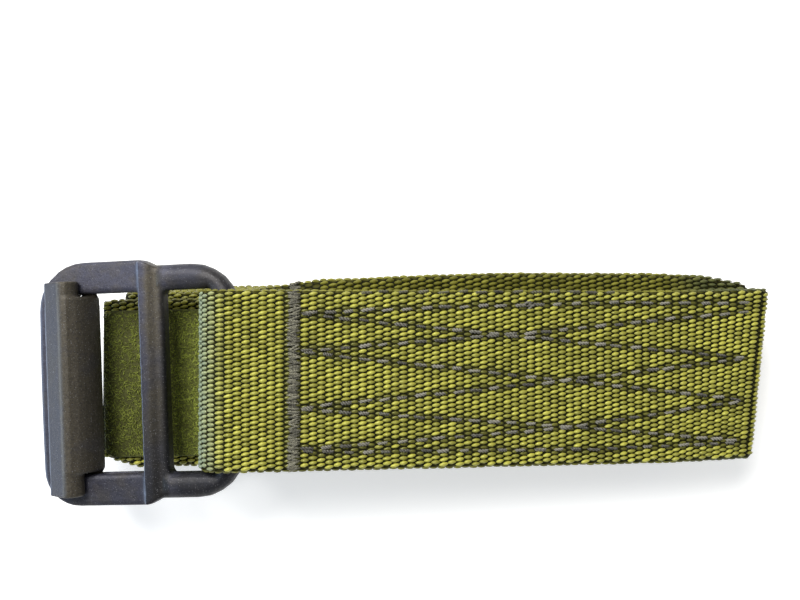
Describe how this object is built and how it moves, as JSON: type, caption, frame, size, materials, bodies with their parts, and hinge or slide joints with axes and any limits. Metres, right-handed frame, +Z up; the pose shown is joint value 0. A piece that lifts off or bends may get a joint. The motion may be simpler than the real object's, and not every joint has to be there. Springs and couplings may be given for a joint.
{
  "type": "rigger belt",
  "caption": "Folded webbing waist belt with a loop tape tail and a sliding-bar friction buckle that hangs in a sewn loop.",
  "frame": {"origin": "on the surface that the belt lies on, under the middle of its bounding box", "axes": "+X along the belt from the buckle to the crease, +Y across the webbing, +Z up from the lowest ply"},
  "size_m": [0.1894, 0.0622, 0.0391],
  "materials": {
    "olive_webbing": "heavy woven webbing in olive green",
    "green_loop_tape": "dark green loop pile",
    "dark_steel": "dark grey coated steel, worn lighter on its edges"
  },
  "bodies": {
    "belt": {"strap": "olive_webbing", "loop_tape": "green_loop_tape", "buckle_frame": "dark_steel"},
    "slider": {"slider_bar": "dark_steel"}
  },
  "joints": [
    {"name": "slider_slide", "type": "slide", "parent": "belt", "child": "slider", "axis": [0.9917, 0.0398, 0.1219], "range_m": [0, 0.0094]}
  ]
}
